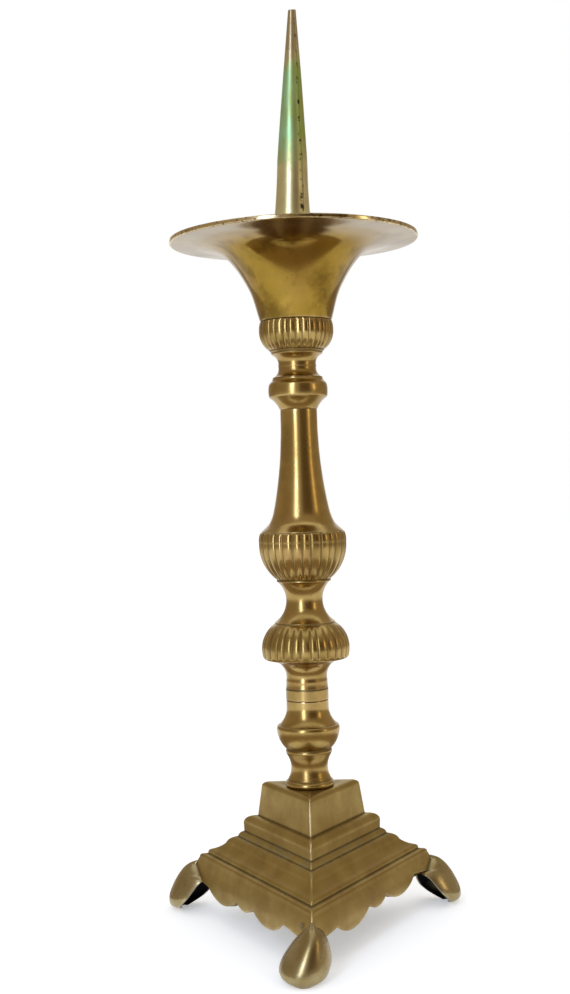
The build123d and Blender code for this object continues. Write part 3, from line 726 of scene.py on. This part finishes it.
# Collar: turned brass ring with a plain band between two coves, at the top of the shaft.
# It hides the joint between the column and the capital.
collar = turned("collar_turned", outline_of(
    (stem_bore, 283.52),
    (10.1, 283.52),
    (10.3, 283.8),
    (15.4, 289.9, -0.6),
    (15.9, 290.5),
    (15.8, 297.2, 0.35),
    (15.1, 298.2),
    (13.7, 300.5, -0.3),
    (stem_bore, 300.5),
))
fit(collar, stem_brass, "stand", "stem_brass", "collar")


# Capital: turned brass neck with fine dark rings, and a shallow ribbed cup that carries the pan.
# A recess in its top holds the nut that keeps the stem tight.
capital = turned("capital_turned", outline_of(
    (stem_bore, 300.6),
    (13.7, 300.6),
    (13.6, 300.9),
    (10.4, 307.2, -1.3),
    (13.3, 313.2, -1.2),
    (13.9, 313.9, 0.1),
    (13.9, 314.4),
    (14.4, 314.9),
    (14.7, 315.6, 0.1),
    (20.3, 326.0, 1.5),
    (19.6, 331.2, 0.25),
    (19.3, 331.45),
    (11.4, 331.45),
    (11.4, 322.6),
    (stem_bore, 322.6),
), segments=448)
gadrooned(
    capital, Ribs=32, Depth=1.05 * MM, Lowest=315.7 * MM, Highest=332.4 * MM, Run_out=2.0 * MM,
    Unevenness=0.9, Seed=11.0, Finish=stem_brass,
)
fit(capital, stem_brass, "stand", "stem_brass", "capital")


# Tie rod, nuts and washers: black forged iron inside the stem, which pulls all its pieces together.
# It is rusted where the air reaches it, under the base and in the capital's recess.
def rusty_iron(name):
    """Black iron with brown rust in patches."""
    material = bpy.data.materials.new(name)
    material.use_nodes = True
    tree = material.node_tree
    shader = tree.nodes["Principled BSDF"]
    place = wire(tree, "ShaderNodeTexCoord", {}).outputs["Object"]
    clouds = noise(tree, place, 260, 6.0, 0.65)
    rust = spread(tree, clouds, 0.45, 0.62)
    colour = tint(tree, rust, (0.05, 0.046, 0.042), (0.16, 0.07, 0.03))
    grain = noise(tree, place, 1600, 4.0)
    bump = wire(tree, "ShaderNodeBump", {"Strength": 0.6, "Distance": 0.0004, "Height": grain})
    tree.links.new(colour, shader.inputs["Base Color"])
    tree.links.new(spread(tree, rust, 0.0, 1.0, 0.9, 0.2), shader.inputs["Metallic"])
    tree.links.new(spread(tree, rust, 0.0, 1.0, 0.45, 0.85), shader.inputs["Roughness"])
    tree.links.new(bump.outputs[0], shader.inputs["Normal"])
    return material


forged_iron = rusty_iron("forged iron")
for name in ("tie_rod", "base_washer", "base_nut", "stem_washer", "stem_nut"):
    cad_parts[name].data.materials.clear()
    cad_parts[name].data.materials.append(forged_iron)


# Drip pan: raised from sheet brass into a trumpet with a wide flat brim and a thick rim, which is
# nicked and not quite true. A floor inside carries the pricket.
pan_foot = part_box("drip_pan")[0].z / MM
pan_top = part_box("drip_pan")[1].z / MM
rim_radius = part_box("drip_pan")[1].x / MM - 0.03
pan_wall = 2.0
floor_top, floor_under = 356.0, 353.0
plug_hole = 6.26
trumpet = flowing((
    (19.5, pan_foot + 0.1),
    (25.4, 350.0),
    (38.2, 368.0),
    (52.0, 373.1),
    (rim_radius - 0.4, 374.8),
), steps=16)
bowl = [(radius - pan_wall, level + pan_wall) for radius, level in trumpet]
pan = turned("drip_pan_raised", [
    *trumpet,
    (rim_radius, 375.2),
    (rim_radius, pan_top - 0.4),
    (rim_radius - 0.4, pan_top),
    (rim_radius - 1.6, pan_top - 0.1),
    *[point for point in reversed(bowl) if point[1] > floor_top + 0.6 and point[0] < rim_radius - 3],
    *[(radius, floor_top) for radius in (24.0, plug_hole)],
    (plug_hole, floor_under),
    (23.0, floor_under),
    *[point for point in reversed(bowl) if point[1] < floor_under - 1],
    (19.5 - pan_wall, pan_foot + 0.1),
], segments=256)
rim_wear = pan.data.attributes["worn"].data
for number, vertex in enumerate(pan.data.vertices):
    angle = atan2(vertex.co.y, vertex.co.x)
    radius = hypot(vertex.co.x, vertex.co.y) / MM
    outward = min(max((radius - 40) / 27, 0.0), 1.0)
    vertex.co.z -= outward * (0.3 + 0.2 * sin(2 * angle + 0.8) + 0.1 * sin(5 * angle)) * MM
    if radius > rim_radius - 0.6:
        rim_wear[number].value = 0.75


def pan_film(tree, place, colour, rough):
    """Dark brown blotches on the trumpet, a greyer brim, and dark nicks round the rim."""
    parts = wire(tree, "ShaderNodeSeparateXYZ", {0: place}).outputs
    radius = from_axis(tree, parts)
    blotches = noise(tree, place, 48, 5.0, 0.6)
    colour = tint(tree, spread(tree, blotches, 0.5, 0.66, 0.0, 0.8), colour, (0.13, 0.075, 0.012))
    brim = product(tree, spread(tree, radius, 0.044, 0.056), spread(tree, blotches, 0.35, 0.6, 1.0, 0.55))
    grey = product(tree, brim, spread(tree, radius, 0.0662, 0.0666, 0.85, 0.0))
    colour = tint(tree, grey, colour, (0.34, 0.275, 0.19))
    nicks = noise(tree, place, 520, 3.0, 0.6)
    nick = product(tree, spread(tree, radius, 0.0662, 0.0667), spread(tree, nicks, 0.56, 0.62))
    colour = tint(tree, calc(tree, "MULTIPLY", nick, 0.85), colour, pit_brown)
    return colour, calc(tree, "ADD", rough, calc(tree, "MULTIPLY", brim, 0.08))


pan_brass = aged_brass(
    "pan brass", (0.345, 0.22, 0.036), (0.25, 0.15, 0.022), 0.15, 34, pits=0.6, lines=0.15, film=pan_film
)
fit(pan, pan_brass, "pan", "pan_brass", "drip_pan")


# Spike plug, pan nut and pin: brass, turned and tapped, and cleaner than the rest because they are inside.
# The plug fills the spike's root, the pin holds it there, and the nut keeps the pan on it.
plug_brass = aged_brass("plug brass", (0.60, 0.50, 0.26), (0.48, 0.38, 0.17), 0.26, 60, pits=0.5, lines=0.2)
for name in ("spike_plug", "pan_nut", "spike_pin"):
    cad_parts[name].data.materials.clear()
    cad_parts[name].data.materials.append(plug_brass)


# Pricket spike: sheet brass rolled to a tall cone with a lapped seam down its right side, open at the
# tip. Candle acids have turned its upper half green, and soot sits in spots along the seam.
spike_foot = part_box("pricket_spike")[0].z / MM
spike_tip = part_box("pricket_spike")[1].z / MM
sheet = 0.6
seam_angle = radians(-45)
lap = radians(34)
spike_lean = tan(radians(1.6))
spike_shift = -1.2
verdigris = (0.38, 0.66, 0.40)
olive_film = (0.33, 0.36, 0.055)
burnt_tip = (0.40, 0.31, 0.19)
soot = (0.05, 0.04, 0.025)


def green_film(tree, place, colour, rough):
    """Green tarnish in a band below the tip, olive to the right, a burnt tip, and soot along the seam."""
    parts = wire(tree, "ShaderNodeSeparateXYZ", {0: place}).outputs
    ragged = noise(tree, place, 120, 5.0, 0.65)
    unevenness = calc(tree, "MULTIPLY", calc(tree, "SUBTRACT", ragged, 0.5), 0.035)
    level = calc(tree, "ADD", parts["Z"], unevenness)
    band = product(tree, spread(tree, level, 0.412, 0.43), spread(tree, level, 0.466, 0.478, 1.0, 0.0))
    left = spread(tree, parts["X"], -0.004, 0.007, 1.0, 0.1)
    tall = wire(tree, "ShaderNodeVectorMath", {0: place, 1: (1.0, 1.0, 0.18)}, operation="MULTIPLY")
    streaks = noise(tree, tall.outputs[0], 330, 4.0)
    colour = tint(tree, calc(tree, "MULTIPLY", band, 0.88), colour, olive_film)
    pale = product(tree, band, left, spread(tree, streaks, 0.35, 0.55, 0.35, 1.0))
    colour = tint(tree, pale, colour, verdigris)
    colour = tint(tree, spread(tree, level, 0.470, 0.482, 0.0, 0.8), colour, burnt_tip)
    seam = wire(tree, "ShaderNodeAttribute", {}, attribute_name="grimy_and_shaded").outputs["Fac"]
    broken = spread(tree, noise(tree, place, 300, 3.0), 0.52, 0.6)
    spots = calc(tree, "MULTIPLY", spread(tree, seam, 0.02, 0.2), broken)
    colour = tint(tree, spots, colour, soot)
    rough = calc(tree, "ADD", rough, calc(tree, "MULTIPLY", band, 0.1))
    return colour, calc(tree, "ADD", rough, calc(tree, "MULTIPLY", spots, 0.2))


spike_line = flowing((
    (12.3, spike_foot), (9.3, 390.0), (8.3, 405.0), (7.8, 420.0), (5.4, 455.0), (1.85, spike_tip)
), steps=14)
around = 90
points, worn, grimy_and_shaded = [], [], []
for radius, level in spike_line:
    ring = []
    for step in range(around + 1):
        past = (2 * pi + lap) * step / around
        lift = min(max((lap + 0.7 - past) / 0.7, 0.0), 1.0)
        angle = seam_angle + 0.06 * sin(level / 9) * (1 - step / around) + past
        wave = 0.06 * sin(3 * angle + level / 14) + 0.05 * sin(2 * angle - level / 23)
        ring.append((radius + wave * radius / 12 + sheet * lift * lift * (3 - 2 * lift), angle, past))
    for inset, way in ((0.0, ring), (sheet * 0.97, ring[::-1])):
        for out, angle, past in way:
            shift = spike_shift + (level - 358) * spike_lean
            points.append((shift + (out - inset) * cos(angle), (out - inset) * sin(angle), level))
            worn.append(0.5 if past < 0.01 else 0.0)
            grimy_and_shaded.append(0.45 * max(0.0, 1 - abs(past - 2 * pi) / 0.3))
width = 2 * (around + 1)
faces = ring_faces(len(spike_line), width, closed=False)
last = (len(spike_line) - 1) * width
for step in range(around):
    other = width - 1 - step
    faces.append((last + step, last + step + 1, last + other - 1, last + other))
    faces.append((step, other, other - 1, step + 1))
spike = brass_mesh("spike_rolled", points, faces, worn, grimy_and_shaded)
tarnished = aged_brass(
    "tarnished spike brass", (0.74, 0.70, 0.42), (0.58, 0.53, 0.27), 0.32, 70, pits=0.8, film=green_film
)
fit(spike, tarnished, "pricket", "spike_brass", "pricket_spike")


# Floor and light: a white floor, a tall window behind the camera's left and a small warm lamp to the right.
# Tan and brown screens stand round the camera's side, and a brown card lies round the stand, for the
# brass to reflect, as in a room with wooden furniture.
def plain_material(name, colour, glow=0.0):
    """Matt colour, or a glowing one."""
    material = bpy.data.materials.new(name)
    material.use_nodes = True
    shader = material.node_tree.nodes["Principled BSDF"]
    shader.inputs["Base Color"].default_value = (*colour, 1.0)
    shader.inputs["Roughness"].default_value = 0.9
    shader.inputs["Specular IOR Level"].default_value = 0.1
    if glow:
        shader.inputs["Base Color"].default_value = (0.0, 0.0, 0.0, 1.0)
        shader.inputs["Emission Color"].default_value = (*colour, 1.0)
        shader.inputs["Emission Strength"].default_value = glow
    return material


def shown_rays(tree):
    """One for the rays that show a surface to the camera, itself or in brass, and nought for the others."""
    path = wire(tree, "ShaderNodeLightPath", {}).outputs
    shown = calc(tree, "MAXIMUM", path["Is Camera Ray"], path["Is Glossy Ray"])
    return calc(tree, "MAXIMUM", shown, path["Is Transmission Ray"])


def sheet_of(name, corners, material):
    """Flat or bent sheet for the stage, from two rows of points in metres."""
    mesh = bpy.data.meshes.new(name)
    wide = len(corners) // 2
    mesh.from_pydata(corners, [], [(k, k + 1, wide + k + 1, wide + k) for k in range(wide - 1)])
    mesh.materials.append(material)
    made = bpy.data.objects.new(name, mesh)
    bpy.context.scene.collection.objects.link(made)
    return made


floor_half = 6.0
white_floor = plain_material("white floor", (0.9, 0.9, 0.9))
tree = white_floor.node_tree
lift = calc(tree, "MULTIPLY", shown_rays(tree), 0.36)
tree.links.new(lift, tree.nodes["Principled BSDF"].inputs["Emission Strength"])
sheet_of("floor", [
    (-floor_half, -floor_half, 0),
    (floor_half, -floor_half, 0),
    (-floor_half, floor_half, 0),
    (floor_half, floor_half, 0),
], white_floor)


def screen(name, bearings, near, far, colour):
    """Bent screen round the stand, from a reach and level to another, seen only in reflections."""
    first, last = bearings
    ways = [radians(-90 + first + (last - first) * k / 36) for k in range(37)]
    corners = [(reach * cos(b), reach * sin(b), level) for reach, level in (near, far) for b in ways]
    made = sheet_of(name, corners, plain_material(name, colour, glow=1.0))
    made.visible_camera = False
    made.visible_diffuse = False
    made.visible_shadow = False


screen("tan_screen", (-155, 155), (1.8, 0.0), (1.8, 2.6), (0.47, 0.39, 0.29))
screen("dark_screen", (6, 50), (1.5, 0.0), (1.5, 1.1), (0.16, 0.11, 0.06))
screen("brown_card", (-180, 180), (0.12, 0.001), (0.32, 0.001), (0.40, 0.31, 0.20))


def lamp(name, bearing, reach, level, size, colour, radiance):
    """Flat lamp that faces the stand, from a bearing on the camera's side, as bright as radiance says."""
    light = bpy.data.lights.new(name, "AREA")
    light.shape = "RECTANGLE"
    light.size, light.size_y = size
    light.color = colour
    light.energy = radiance * pi * size[0] * size[1]
    made = bpy.data.objects.new(name, light)
    angle = radians(-90 + bearing)
    made.location = (reach * cos(angle), reach * sin(angle), level)
    aim = Vector((0, 0, 0.25)) - made.location
    made.rotation_euler = aim.to_track_quat("-Z", "Y").to_euler()
    made.visible_camera = False
    bpy.context.scene.collection.objects.link(made)


lamp("window", -22, 1.4, 0.55, (0.3, 1.3), (0.62, 0.74, 1.0), 9.0)
lamp("warm_lamp", 66, 1.4, 0.55, (0.16, 0.5), (1.0, 0.78, 0.48), 3.4)

world = bpy.data.worlds.new("studio")
bpy.context.scene.world = world
world.use_nodes = True
tree = world.node_tree
strength = spread(tree, shown_rays(tree), 0.0, 1.0, 0.75, 1.0)
tree.links.new(strength, tree.nodes["Background"].inputs["Strength"])
tree.nodes["Background"].inputs["Color"].default_value = (1.0, 1.0, 1.0, 1.0)

camera = bpy.data.cameras.new("camera")
camera.sensor_width = 36.0
camera.lens = 49.5
viewer = bpy.data.objects.new("camera", camera)
bpy.context.scene.collection.objects.link(viewer)
viewer.matrix_world = (
    Matrix.Translation((0.0113, -0.7449, 0.244))
    @ Matrix.Rotation(radians(1.55), 4, "Z")
    @ Matrix.Rotation(radians(90 - 0.61), 4, "X")
    @ Matrix.Rotation(radians(-1.77), 4, "Z")
)
bpy.context.scene.camera = viewer
bpy.context.scene.view_settings.view_transform = "Standard"
